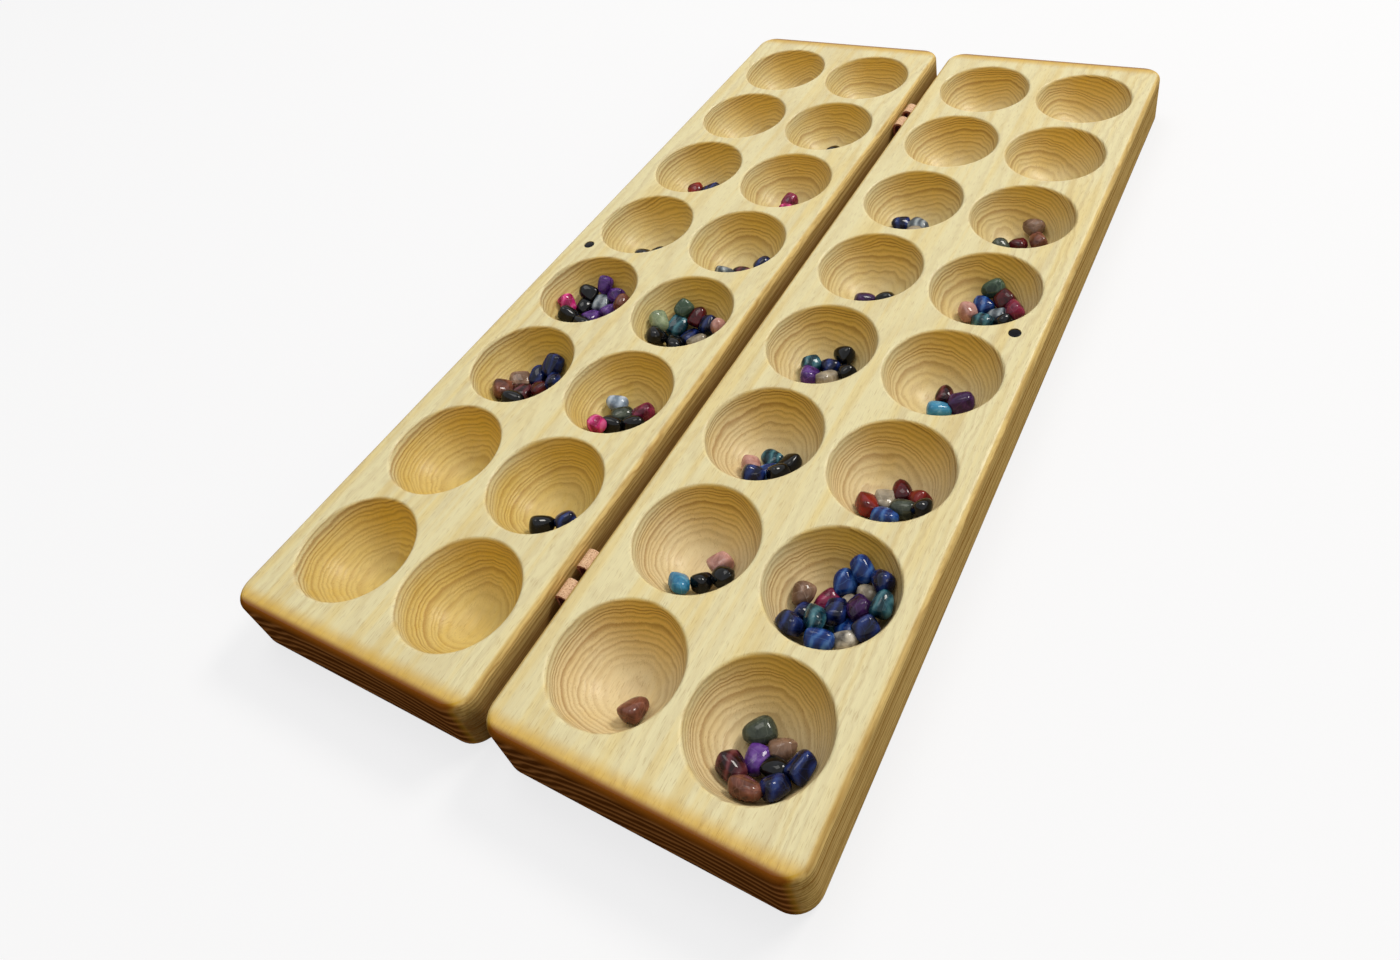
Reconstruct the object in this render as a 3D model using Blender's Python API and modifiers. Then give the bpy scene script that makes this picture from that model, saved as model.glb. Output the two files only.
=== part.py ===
"""Folding mancala board: two ash planks with bowl-shaped pits, joined by leather bands, with its stones.

Units are metres, +Z is up. The board lies open on a table at z = 0, with the hinge line along Y at x = 0.
Run with: blender --background --python part.py
"""
import math
import random

import bmesh
import bpy
from mathutils import Matrix, Vector

# Planks
PLANK_THICKNESS = 0.034
EDGE_RADIUS = 0.0035  # round-over along the top and bottom edges
CORNER_RADIUS = 0.012  # upright corners
BOARD_GAP = 0.0088  # between the two planks when they lie open
CLOSED_GAP = 0.0003  # between the two playing faces when folded shut

# Pits: rows run along the plank, columns across it
PIT_ROWS = 8
PIT_COLUMNS = 2
PIT_PITCH = 0.066
PIT_RADIUS = 0.0295
PIT_DEPTH = 0.025
PIT_RIM = 0.0018  # softened edge around each pit, across and down
INNER_MARGIN = 0.039  # from a pit's centre to the face beside the hinge
OUTER_MARGIN = 0.040  # from a pit's centre to the outer face
END_MARGIN = 0.0465  # from a pit's centre to the end face

# Closing magnets, one let into each outer rim
MAGNET_RADIUS = 0.003
MAGNET_THICKNESS = 0.003
MAGNET_RECESS = 0.0002  # below the playing face
MAGNET_EDGE = 0.015  # from the magnet's centre to the outer face
MAGNET_Y = 0.0035

# Leather bands, two to a hinge
FAR_HINGE_Y = 0.196  # from mid-length to each hinge
NEAR_HINGE_Y = 0.199
BAND_WIDTH = 0.009
BAND_SPACING = 0.0077  # between the two bands of one hinge
BAND_THICKNESS = 0.0016
BAND_CROWN_DROP = 0.0042  # top of the arch, below the playing face
BAND_LEG = 0.023  # lowest edge of the leather, below the playing face

# Brass tacks, one through each leg of a band
TACK_DROP = 0.0165  # below the playing face
TACK_HEAD_RADIUS = 0.0023
TACK_HEAD_HEIGHT = 0.0010
TACK_SHANK_RADIUS = 0.0008
TACK_GRIP = 0.009  # length of shank in the wood
TACK_POINT = 0.0024  # length of the tapered tip

# Tumbled stones
STONE_LENGTH = 0.0115
STONE_WIDTH = 0.0096
STONE_HEIGHT = 0.0084
STONE_VARIATION = 0.06  # each stone's sides differ by up to this share
LONE_STONE_TURN = math.radians(35)  # turn of a stone that has a pit to itself

CLEARANCE = 0.0003  # between pieces that touch
BOWL_CLEARANCE = 0.0007  # from a stone to the true bowl, which its flat facets run inside
MERGE_DISTANCE = 0.00001

# Facets
CORNER_SEGMENTS = 4
EDGE_SEGMENTS = 3
PIT_SEGMENTS = 20
BOWL_RINGS = 5
MAGNET_SEGMENTS = 24
ARCH_SEGMENTS = 8
TACK_SEGMENTS = 8
DOME_RINGS = 2
STONE_SEGMENTS = 7
STONE_RINGS = 4
ROUND_PROFILE = 0.5  # a bevel's circular profile
SMOOTH_ANGLE = math.radians(35)
STONE_SMOOTH_ANGLE = math.radians(80)

# Derived sizes
PLANK_WIDTH = INNER_MARGIN + (PIT_COLUMNS - 1) * PIT_PITCH + OUTER_MARGIN
PLANK_LENGTH = 2 * END_MARGIN + (PIT_ROWS - 1) * PIT_PITCH
BOWL_DEPTH = PIT_DEPTH - PIT_RIM  # of the spherical part
BOWL_RADIUS = (PIT_RADIUS ** 2 + BOWL_DEPTH ** 2) / (2 * BOWL_DEPTH)
BOWL_CENTRE_Z = PLANK_THICKNESS - PIT_DEPTH + BOWL_RADIUS
FOLD_Z = PLANK_THICKNESS + CLOSED_GAP / 2
LEG_X = BOARD_GAP / 2 - CLEARANCE  # outer face of a leather leg
TACK_SEAT = BAND_THICKNESS + 2 * CLEARANCE  # from under the tack's head to the wood

LEFT = -1
RIGHT = 1

COLOURS = {
    "ash": (0.78, 0.62, 0.36),
    "leather": (0.55, 0.30, 0.20),
    "magnet": (0.02, 0.02, 0.025),
    "brass": (0.72, 0.52, 0.22),
    "heap": (0.08, 0.10, 0.22),
    "black": (0.010, 0.012, 0.020),
    "navy": (0.010, 0.030, 0.160),
    "blue": (0.030, 0.160, 0.450),
    "light_blue": (0.25, 0.50, 0.70),
    "blue_grey": (0.16, 0.24, 0.32),
    "clear": (0.60, 0.56, 0.48),
    "grey": (0.20, 0.19, 0.18),
    "dark_green": (0.03, 0.09, 0.06),
    "purple": (0.16, 0.03, 0.26),
    "magenta": (0.42, 0.02, 0.16),
    "pink": (0.62, 0.32, 0.30),
    "dark_red": (0.16, 0.015, 0.02),
    "maroon": (0.12, 0.025, 0.03),
    "red_brown": (0.20, 0.055, 0.035),
    "brown": (0.24, 0.12, 0.07),
}

# A pit is named by its column, a to d from left to right, and its row, 1 at the far end.
# Stones that lie apart in their pit: (colour, right, along), in stone lengths along the bowl from its middle.
LOOSE_STONES = {
    "b2": [("black", 0.4, -0.4)],
    "a3": [("red_brown", -0.5, -0.1), ("navy", 0.5, 0.1)],
    "b3": [("pink", -0.1, 0.15), ("magenta", 0.25, -0.75)],
    "c3": [("navy", -0.75, -0.2), ("blue_grey", 0.3, -0.1), ("clear", 0.45, -1.1)],
    "d3": [("brown", 0.3, 1.1), ("maroon", -0.05, -0.3), ("pink", 0.8, 0.2), ("dark_green", -0.75, -1.0)],
    "a4": [("black", 0.35, -1.6), ("black", 1.05, -0.85)],
    "b4": [("grey", -0.3, -1.4), ("red_brown", 0.55, -0.8), ("navy", 1.5, -0.1)],
    "c4": [("purple", 0.05, -1.1), ("black", 1.2, -0.95)],
    "d5": [("maroon", 0.0, 0.25), ("purple", 1.0, -0.3), ("light_blue", 0.2, -0.93)],
    "b7": [("black", 0.3, -1.25), ("navy", 1.1, -0.65)],
    "c7": [("light_blue", -0.1, -1.8), ("clear", 0.8, 0.1), ("black", 0.6, -1.0), ("black", 1.5, -0.6)],
    "c8": [("red_brown", 0.95, -0.8)],
}

# Stones that touch and are built as one heap: (right, along, lift). Lift is in stone heights, for one on top.
HEAPED_STONES = {
    "d4": [(-0.05, 1.35, 0), (-0.15, 0.55, 0), (-0.55, -0.25, 0), (0.75, 0.85, 0), (1.35, 0.25, 0),
           (0.55, 0.05, 0), (0.05, -0.65, 0), (0.95, -0.45, 0)],
    "a5": [(-1.5, -0.5, 0), (-0.9, 0.0, 0), (-0.9, -1.1, 0), (-0.3, -1.1, 0), (0.6, 0.4, 0),
           (-1.0, 0.8, 0), (0.6, 1.1, 0), (1.3, 0.8, 0), (-0.3, 0.7, 0.5), (-0.1, -0.1, 0.5),
           (-0.1, 1.3, 0)],
    "b5": [(-1.4, -0.15, 0), (-0.7, 0.95, 0), (-0.7, 0.15, 0), (0.1, 0.75, 0), (0.8, 0.75, 0),
           (-1.1, -0.95, 0), (-0.4, -0.55, 0), (0.4, -0.35, 0), (1.5, 0.55, 0), (0.0, 0.15, 0.5)],
    "c5": [(0.5, 0.8, 0), (-0.5, -0.1, 0), (0.2, 0.1, 0), (-0.3, -0.9, 0), (0.4, -0.6, 0),
           (1.0, -0.1, 0)],
    "a6": [(-0.1, 0.7, 0), (-0.6, 0.1, 0), (1.1, 0.6, 0), (0.5, 1.1, 0), (-0.3, -0.5, 0),
           (-0.7, -1.1, 0), (0.4, -0.2, 0), (-0.2, -1.4, 0)],
    "b6": [(-0.7, 0.25, 0), (-0.1, -0.25, 0), (0.6, 0.05, 0), (-0.5, -1.65, 0), (-0.2, -0.95, 0),
           (0.7, -0.55, 0)],
    "c6": [(-0.25, -1.05, 0), (0.15, -0.15, 0), (1.15, -0.35, 0), (0.15, -1.65, 0), (0.45, -0.85, 0),
           (1.15, -1.05, 0)],
    "d6": [(-0.6, -1.15, 0), (0.3, 0.05, 0), (1.0, -0.15, 0), (0.0, -0.65, 0), (0.3, -1.25, 0),
           (0.9, -0.95, 0), (1.6, -0.85, 0)],
    "d7": [(-0.75, -0.55, 0), (-0.25, 0.15, 0), (0.35, 0.75, 0), (1.05, 1.15, 0), (1.75, 0.95, 0),
           (2.15, 0.25, 0), (1.05, 0.45, 0), (0.45, -0.55, 0), (-0.35, -1.25, 0), (0.25, -1.95, 0),
           (0.95, -1.65, 0), (1.55, -1.15, 0), (1.05, -0.25, 0.5), (0.35, 0.05, 0.5), (2.15, -0.55, 0),
           (0.35, -1.25, 0.5), (-0.35, -1.95, 0), (0.95, -0.95, 0.5)],
    "d8": [(-0.2, 0.2, 0), (0.5, 0.1, 0), (-0.3, -1.2, 0), (0.1, -0.7, 0), (1.5, -0.6, 0),
           (1.1, -1.3, 0), (0.5, -1.8, 0), (0.8, -0.6, 0)],
}


def clear_scene():
    for obj in list(bpy.data.objects):
        bpy.data.objects.remove(obj, do_unlink=True)


def new_collection(name):
    collection = bpy.data.collections.new(name)
    bpy.context.scene.collection.children.link(collection)
    return collection


def make_material(name, colour, roughness=0.4, metallic=0.0):
    material = bpy.data.materials.new(name)
    material.use_nodes = True
    shader = material.node_tree.nodes["Principled BSDF"]
    shader.inputs["Base Color"].default_value = (*colour, 1.0)
    shader.inputs["Roughness"].default_value = roughness
    shader.inputs["Metallic"].default_value = metallic
    material.diffuse_color = (*colour, 1.0)
    return material


def add_object(name, mesh, collection, material=None, parent=None, matrix=None):
    """Link a new object. Its matrix is its place in the world, whatever its parent is."""
    obj = bpy.data.objects.new(name, mesh)
    collection.objects.link(obj)
    world = matrix or Matrix.Identity(4)
    if parent is not None:
        obj.parent = parent
        world = Matrix.Translation(-parent.location) @ world
    obj.matrix_local = world
    if material is not None:
        mesh.materials.append(material)
    return obj


def add_cutter(name, mesh, collection, matrix=None):
    cutter = add_object(name, mesh, collection, matrix=matrix)
    cutter.hide_render = True
    cutter.display_type = "WIRE"
    return cutter


def cut_with(obj, collection, operation="DIFFERENCE"):
    modifier = obj.modifiers.new("Boolean", "BOOLEAN")
    modifier.operation = operation
    modifier.solver = "EXACT"
    modifier.operand_type = "COLLECTION"
    modifier.collection = collection


def mesh_from_bmesh(name, bm, smooth_angle=SMOOTH_ANGLE):
    mesh = bpy.data.meshes.new(name)
    bm.to_mesh(mesh)
    bm.free()
    mesh.shade_smooth()
    mesh.set_sharp_from_angle(angle=smooth_angle)
    return mesh


def turned_mesh(name, profile, segments):
    """Turn a profile of (radius, height) points, given from top to bottom, about Z."""
    line = bpy.data.meshes.new(name + "_profile")
    points = [(radius, 0.0, height) for radius, height in profile]
    line.from_pydata(points, [(i, i + 1) for i in range(len(points) - 1)], [])
    turned = bpy.data.objects.new(name + "_profile", line)
    bpy.context.scene.collection.objects.link(turned)
    screw = turned.modifiers.new("Screw", "SCREW")
    screw.axis = "Z"
    screw.steps = segments
    screw.render_steps = segments
    screw.use_merge_vertices = True
    screw.merge_threshold = MERGE_DISTANCE
    screw.use_smooth_shade = True
    depsgraph = bpy.context.evaluated_depsgraph_get()
    mesh = bpy.data.meshes.new_from_object(turned.evaluated_get(depsgraph))
    mesh.name = name
    mesh.shade_smooth()
    mesh.set_sharp_from_angle(angle=SMOOTH_ANGLE)
    bpy.data.objects.remove(turned, do_unlink=True)
    return mesh


def arc(centre, radius, start, end, steps):
    """Points of an arc in the (radius, height) plane, angles in radians from the +radius axis."""
    angles = [start + (end - start) * i / steps for i in range(steps + 1)]
    return [(centre[0] + radius * math.cos(a), centre[1] + radius * math.sin(a)) for a in angles]


def pit_centre(column, row):
    """World x and y of a pit. Columns a and b are on the left plank, c and d on the right."""
    side = LEFT if column in "ab" else RIGHT
    outer = column in "ad"
    x = side * (BOARD_GAP / 2 + INNER_MARGIN + (PIT_PITCH if outer else 0.0))
    y = ((PIT_ROWS + 1) / 2 - row) * PIT_PITCH
    return x, y


def pit_cutter_mesh():
    """The hollow of one pit, with its origin at the playing face: a softened rim above a spherical bowl."""
    bowl_centre = (0.0, BOWL_CENTRE_Z - PLANK_THICKNESS)
    start = math.atan2(-PIT_RIM - bowl_centre[1], PIT_RADIUS)
    bowl = arc(bowl_centre, BOWL_RADIUS, start, -math.pi / 2, BOWL_RINGS)
    bowl[-1] = (0.0, -PIT_DEPTH)
    above = PIT_RIM  # the rim's slope runs on past the playing face
    profile = [(0.0, above), (PIT_RADIUS + PIT_RIM + above, above)] + bowl
    return turned_mesh("pit_hollow", profile, PIT_SEGMENTS)


def cylinder_mesh(name, radius, height, segments):
    """An upright cylinder centred on its origin."""
    bm = bmesh.new()
    bmesh.ops.create_cone(bm, cap_ends=True, segments=segments, radius1=radius, radius2=radius, depth=height)
    return mesh_from_bmesh(name, bm)


def round_edges(bm, edges, radius, segments):
    bmesh.ops.bevel(bm, geom=edges, offset=radius, segments=segments, profile=ROUND_PROFILE, affect="EDGES")


def score_faces(bm, point, normal):
    """Divide the faces along a plane between two pits, so that no face holds more than one of them."""
    geometry = bm.verts[:] + bm.edges[:] + bm.faces[:]
    bmesh.ops.bisect_plane(bm, geom=geometry, plane_co=point, plane_no=normal)


def plank_mesh(side):
    """A rounded slab in world position."""
    bm = bmesh.new()
    bmesh.ops.create_cube(bm, size=1.0)
    bmesh.ops.scale(bm, vec=(PLANK_WIDTH, PLANK_LENGTH, PLANK_THICKNESS), verts=bm.verts)
    upright = [e for e in bm.edges if abs(e.verts[0].co.z - e.verts[1].co.z) > PLANK_THICKNESS / 2]
    round_edges(bm, upright, CORNER_RADIUS, CORNER_SEGMENTS)
    level = [e for e in bm.edges if abs(e.verts[0].co.z - e.verts[1].co.z) < PLANK_THICKNESS / 2]
    round_edges(bm, level, EDGE_RADIUS, EDGE_SEGMENTS)
    score_faces(bm, Vector((side * (OUTER_MARGIN - INNER_MARGIN) / -2, 0.0, 0.0)), Vector((1.0, 0.0, 0.0)))
    for row in range(1, PIT_ROWS):
        y = (PIT_ROWS / 2 - row) * PIT_PITCH
        score_faces(bm, Vector((0.0, y, 0.0)), Vector((0.0, 1.0, 0.0)))
    x = side * (BOARD_GAP / 2 + PLANK_WIDTH / 2)
    bmesh.ops.translate(bm, vec=(x, 0.0, PLANK_THICKNESS / 2), verts=bm.verts)
    return mesh_from_bmesh("plank", bm)


def band_positions():
    """(name, y) of every leather band."""
    step = (BAND_WIDTH + BAND_SPACING) / 2
    places = []
    for hinge, y in (("far", FAR_HINGE_Y), ("near", -NEAR_HINGE_Y)):
        places.append((f"{hinge}_hinge_band_1", y + step))
        places.append((f"{hinge}_hinge_band_2", y - step))
    return places


def tack_matrix(side, y):
    """Place and turn a tack, which is modelled head up, so that it points into the plank on this side."""
    place = Matrix.Translation((side * (BOARD_GAP / 2 - TACK_SEAT), y, PLANK_THICKNESS - TACK_DROP))
    return place @ Matrix.Rotation(-side * math.pi / 2, 4, "Y")


def band_mesh():
    """The middle surface of one leather band, centred on y = 0: two upright legs joined by an arch."""
    radius = LEG_X - BAND_THICKNESS / 2
    spring_z = PLANK_THICKNESS - BAND_CROWN_DROP - BAND_THICKNESS / 2 - radius
    foot_z = PLANK_THICKNESS - BAND_LEG
    crown = arc((0.0, spring_z), radius, 0.0, math.pi, ARCH_SEGMENTS)
    path = [(radius, foot_z)] + crown + [(-radius, foot_z)]
    bm = bmesh.new()
    line = [bm.verts.new((x, -BAND_WIDTH / 2, z)) for x, z in path]
    edges = [bm.edges.new(pair) for pair in zip(line, line[1:])]
    swept = bmesh.ops.extrude_edge_only(bm, edges=edges)["geom"]
    moved = [v for v in swept if isinstance(v, bmesh.types.BMVert)]
    bmesh.ops.translate(bm, vec=(0.0, BAND_WIDTH, 0.0), verts=moved)
    return mesh_from_bmesh("band", bm)


def tack_mesh():
    """A domed brass tack, head up, with the underside of its head at z = 0."""
    dome = arc((0.0, 0.0), 1.0, math.pi / 2, 0.0, DOME_RINGS)
    head = [(TACK_HEAD_RADIUS * x, TACK_HEAD_HEIGHT * z) for x, z in dome]
    head[0] = (0.0, TACK_HEAD_HEIGHT)
    tip = TACK_SEAT + TACK_GRIP
    shoulder = tip - TACK_POINT
    profile = head + [(TACK_SHANK_RADIUS, 0.0), (TACK_SHANK_RADIUS, -shoulder), (0.0, -tip)]
    return turned_mesh("tack", profile, TACK_SEGMENTS)


def stone_mesh():
    """A round stone of unit size."""
    bm = bmesh.new()
    bmesh.ops.create_uvsphere(bm, u_segments=STONE_SEGMENTS, v_segments=STONE_RINGS, radius=0.5)
    return mesh_from_bmesh("stone", bm, STONE_SMOOTH_ANGLE)


def stone_matrix(pit, right, along, lift, spin, sizes):
    """Rest a stone on the bowl: flat side to the wood, turned by spin about the line to the bowl's centre."""
    x, y = pit_centre(pit[0], int(pit[1]))
    out = BOWL_RADIUS - BOWL_CLEARANCE - sizes[2] / 2 - lift * STONE_HEIGHT
    bearing = math.atan2(along, right)
    slope = math.hypot(right, along) * STONE_LENGTH / (BOWL_RADIUS - STONE_HEIGHT / 2)
    tilt = Matrix.Rotation(bearing, 4, "Z") @ Matrix.Rotation(-slope, 4, "Y")
    place = Matrix.Translation((x, y, BOWL_CENTRE_Z)) @ tilt @ Matrix.Translation((0.0, 0.0, -out))
    return place @ Matrix.Rotation(spin - bearing, 4, "Z") @ Matrix.Diagonal((*sizes, 1.0))


def stone_sizes(rng):
    nominal = (STONE_LENGTH, STONE_WIDTH, STONE_HEIGHT)
    return [size * (1 + rng.uniform(-STONE_VARIATION, STONE_VARIATION)) for size in nominal]


def spin_beside(stones, index):
    """Turn a stone's long side across the line to its nearest neighbour, so that the two lie side by side."""
    _, right, along = stones[index]
    others = [s for i, s in enumerate(stones) if i != index]
    if not others:
        return LONE_STONE_TURN
    nearest = min(others, key=lambda s: math.hypot(s[1] - right, s[2] - along))
    return math.atan2(nearest[2] - along, nearest[1] - right) + math.pi / 2


def build_planks(parts, cutters, axis):
    hollow = pit_cutter_mesh()
    bore_depth = MAGNET_THICKNESS + MAGNET_RECESS + CLEARANCE
    bore = cylinder_mesh("magnet_bore", MAGNET_RADIUS + CLEARANCE, 2 * bore_depth, MAGNET_SEGMENTS)
    pilot_depth = TACK_GRIP + CLEARANCE
    pilot = cylinder_mesh("tack_pilot", TACK_SHANK_RADIUS + CLEARANCE, 2 * pilot_depth, TACK_SEGMENTS)
    magnet = cylinder_mesh("magnet", MAGNET_RADIUS, MAGNET_THICKNESS, MAGNET_SEGMENTS)
    across = Matrix.Rotation(math.pi / 2, 4, "Y")
    for side, name in ((LEFT, "left"), (RIGHT, "right")):
        parent = axis if side == RIGHT else None
        tools = bpy.data.collections.new(name + "_plank_cutters")
        cutters.children.link(tools)
        for column in ("ab" if side == LEFT else "cd"):
            for row in range(1, PIT_ROWS + 1):
                x, y = pit_centre(column, row)
                place = Matrix.Translation((x, y, PLANK_THICKNESS))
                add_cutter(f"pit_{column}{row}_hollow", hollow, tools, place)
        magnet_x = side * (BOARD_GAP / 2 + PLANK_WIDTH - MAGNET_EDGE)
        place = Matrix.Translation((magnet_x, MAGNET_Y, PLANK_THICKNESS))
        add_cutter(name + "_magnet_bore", bore, tools, place)
        for band, y in band_positions():
            face = Vector((side * BOARD_GAP / 2, y, PLANK_THICKNESS - TACK_DROP))
            add_cutter(f"{name}_{band}_pilot", pilot, tools, Matrix.Translation(face) @ across)
        wood = make_material(name + "_ash", COLOURS["ash"], 0.35)
        plank = add_object(name + "_board", plank_mesh(side), parts, wood, parent)
        cut_with(plank, tools)
        drop = MAGNET_RECESS + MAGNET_THICKNESS / 2
        place = Matrix.Translation((magnet_x, MAGNET_Y, PLANK_THICKNESS - drop))
        steel = make_material(name + "_magnet", COLOURS["magnet"], 0.25, 0.6)
        add_object(name + "_magnet", magnet.copy(), parts, steel, parent, place)


def build_hinges(parts, cutters, axis):
    strip = band_mesh()
    tack = tack_mesh()
    across = Matrix.Rotation(math.pi / 2, 4, "Y")
    punch = cylinder_mesh("band_punch", TACK_SHANK_RADIUS + CLEARANCE, 2 * BOARD_GAP, TACK_SEGMENTS)
    for name, y in band_positions():
        hide = make_material(name + "_leather", COLOURS["leather"], 0.75)
        band = add_object(name, strip.copy(), parts, hide, None, Matrix.Translation((0.0, y, 0.0)))
        thick = band.modifiers.new("Solidify", "SOLIDIFY")
        thick.thickness = BAND_THICKNESS
        thick.offset = 0.0
        thick.use_even_offset = True
        tools = bpy.data.collections.new(name + "_cutters")
        cutters.children.link(tools)
        place = Matrix.Translation((0.0, y, PLANK_THICKNESS - TACK_DROP))
        add_cutter(name + "_punch", punch, tools, place @ across)
        cut_with(band, tools)
        for side, hand in ((LEFT, "left"), (RIGHT, "right")):
            brass = make_material(f"{name}_{hand}_brass", COLOURS["brass"], 0.3, 1.0)
            parent = axis if side == RIGHT else None
            add_object(f"{name}_{hand}_tack", tack.copy(), parts, brass, parent, tack_matrix(side, y))


def build_stones(parts, cutters, axis):
    pebble = stone_mesh()
    for pit, stones in LOOSE_STONES.items():
        rng = random.Random(pit)
        for index, (colour, right, along) in enumerate(stones):
            matrix = stone_matrix(pit, right, along, 0.0, spin_beside(stones, index), stone_sizes(rng))
            gem = make_material(f"{pit}_{colour}_{index + 1}", COLOURS[colour], 0.08)
            parent = axis if pit[0] in "cd" else None
            add_object(f"stone_{pit}_{index + 1}", pebble.copy(), parts, gem, parent, matrix)
    for pit, stones in HEAPED_STONES.items():
        rng = random.Random(pit)
        tools = bpy.data.collections.new(f"heap_{pit}_stones")
        cutters.children.link(tools)
        gem = make_material(f"heap_{pit}", COLOURS["heap"], 0.08)
        parent = axis if pit[0] in "cd" else None
        for index, (right, along, lift) in enumerate(stones):
            matrix = stone_matrix(pit, right, along, lift, rng.uniform(0, math.pi), stone_sizes(rng))
            if index == 0:
                heap = add_object(f"heap_{pit}", pebble.copy(), parts, gem, parent, matrix)
            else:
                add_cutter(f"heap_{pit}_{index + 1}", pebble, tools, matrix)
        cut_with(heap, tools, "UNION")


def main():
    clear_scene()
    parts = new_collection("mancala_board")
    cutters = new_collection("cutters")
    axis = bpy.data.objects.new("fold_axis", None)
    axis.location = (0.0, 0.0, FOLD_Z)
    parts.objects.link(axis)
    build_planks(parts, cutters, axis)
    build_hinges(parts, cutters, axis)
    build_stones(parts, cutters, axis)


main()
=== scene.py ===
import math
import random

import bpy
from mathutils import Euler, Matrix, Vector


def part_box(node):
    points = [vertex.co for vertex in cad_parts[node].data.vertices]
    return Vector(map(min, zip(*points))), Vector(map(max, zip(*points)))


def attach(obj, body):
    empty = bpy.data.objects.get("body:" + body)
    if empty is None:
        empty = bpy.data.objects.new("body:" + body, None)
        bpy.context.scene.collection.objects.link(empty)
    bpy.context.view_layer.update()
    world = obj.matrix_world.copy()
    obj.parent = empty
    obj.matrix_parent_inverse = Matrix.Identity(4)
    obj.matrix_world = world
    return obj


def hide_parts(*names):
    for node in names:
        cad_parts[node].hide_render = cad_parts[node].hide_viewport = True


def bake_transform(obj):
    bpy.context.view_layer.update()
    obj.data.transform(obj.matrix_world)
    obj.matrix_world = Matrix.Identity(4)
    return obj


# Folding mancala board in solid ash, with leather hinges and polished stones.
# Metres, +Z up, the board open on the table and its hinge line along Y at x = 0.

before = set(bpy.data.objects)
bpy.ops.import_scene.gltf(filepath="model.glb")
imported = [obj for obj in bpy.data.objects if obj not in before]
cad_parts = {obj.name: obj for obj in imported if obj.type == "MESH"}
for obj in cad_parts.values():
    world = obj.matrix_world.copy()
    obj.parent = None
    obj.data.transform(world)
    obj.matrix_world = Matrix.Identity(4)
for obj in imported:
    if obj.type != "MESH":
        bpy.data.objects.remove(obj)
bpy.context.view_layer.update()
print("frame loaded:", len(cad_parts), "nodes")


def hexColour(text):
    # sRGB hex to the linear RGBA that nodes want
    parts = [int(text[i:i + 2], 16) / 255 for i in (1, 3, 5)]
    linear = [c / 12.92 if c <= 0.04045 else ((c + 0.055) / 1.055) ** 2.4 for c in parts]
    return (*linear, 1.0)


def addNode(tree, kind, feeds=(), **settings):
    # adds one node. Settings are its attributes or its inputs. Feeds go into its inputs in their order, or by
    # name or number: another node or one of its outputs, a value, or a hex colour
    node = tree.nodes.new("ShaderNode" + kind)
    for name, value in settings.items():
        if hasattr(node, name):
            setattr(node, name, value)
        else:
            node.inputs[name.replace("_", " ")].default_value = value
    for name, value in feeds.items() if isinstance(feeds, dict) else enumerate(feeds):
        if isinstance(value, bpy.types.Node):
            value = value.outputs[0]
        if isinstance(value, bpy.types.NodeSocket):
            tree.links.new(value, node.inputs[name])
        else:
            node.inputs[name].default_value = hexColour(value) if isinstance(value, str) else value
    return node


def newMaterial(name, **shaderSettings):
    material = bpy.data.materials.new(name)
    material.use_nodes = True
    tree = material.node_tree
    shader = tree.nodes["Principled BSDF"]
    for key, value in shaderSettings.items():
        shader.inputs[key.replace("_", " ")].default_value = value
    return material, tree, shader


def setRamp(node, stops):
    # stops: (position, colour) pairs, colour as hex or as a grey level
    elements = node.color_ramp.elements
    while len(elements) > 1:
        elements.remove(elements[0])
    for index, (position, colour) in enumerate(stops):
        element = elements[0] if index == 0 else elements.new(position)
        element.position = position
        element.color = hexColour(colour) if isinstance(colour, str) else (colour, colour, colour, 1)
    return node


def deselectAll():
    if bpy.context.object and bpy.context.object.mode != "OBJECT":
        bpy.ops.object.mode_set(mode="OBJECT")
    bpy.ops.object.select_all(action="DESELECT")


def makeActive(obj):
    deselectAll()
    obj.select_set(True)
    bpy.context.view_layer.objects.active = obj


def selectEdges(obj, test):
    # selects the edges whose two ends pass the test, and leaves the object in edit mode
    makeActive(obj)
    bpy.ops.object.mode_set(mode="EDIT")
    bpy.ops.mesh.select_mode(type="EDGE")
    bpy.ops.mesh.select_all(action="DESELECT")
    bpy.ops.object.mode_set(mode="OBJECT")
    points = obj.data.vertices
    for edge in obj.data.edges:
        edge.select = test(points[edge.vertices[0]].co, points[edge.vertices[1]].co)
    bpy.ops.object.mode_set(mode="EDIT")


def isUpright(one, two):
    return abs(one.z - two.z) > 0.01


def isLevel(one, two):
    return abs(one.z - two.z) < 0.0001


def applyPlace(obj):
    makeActive(obj)
    bpy.ops.object.transform_apply(location=True, rotation=True, scale=True)


def applyModifiers(obj):
    makeActive(obj)
    for modifier in list(obj.modifiers):
        bpy.ops.object.modifier_apply(modifier=modifier.name)


def smoothByAngle(obj, degrees):
    makeActive(obj)
    bpy.ops.object.shade_smooth_by_angle(angle=math.radians(degrees))


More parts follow.
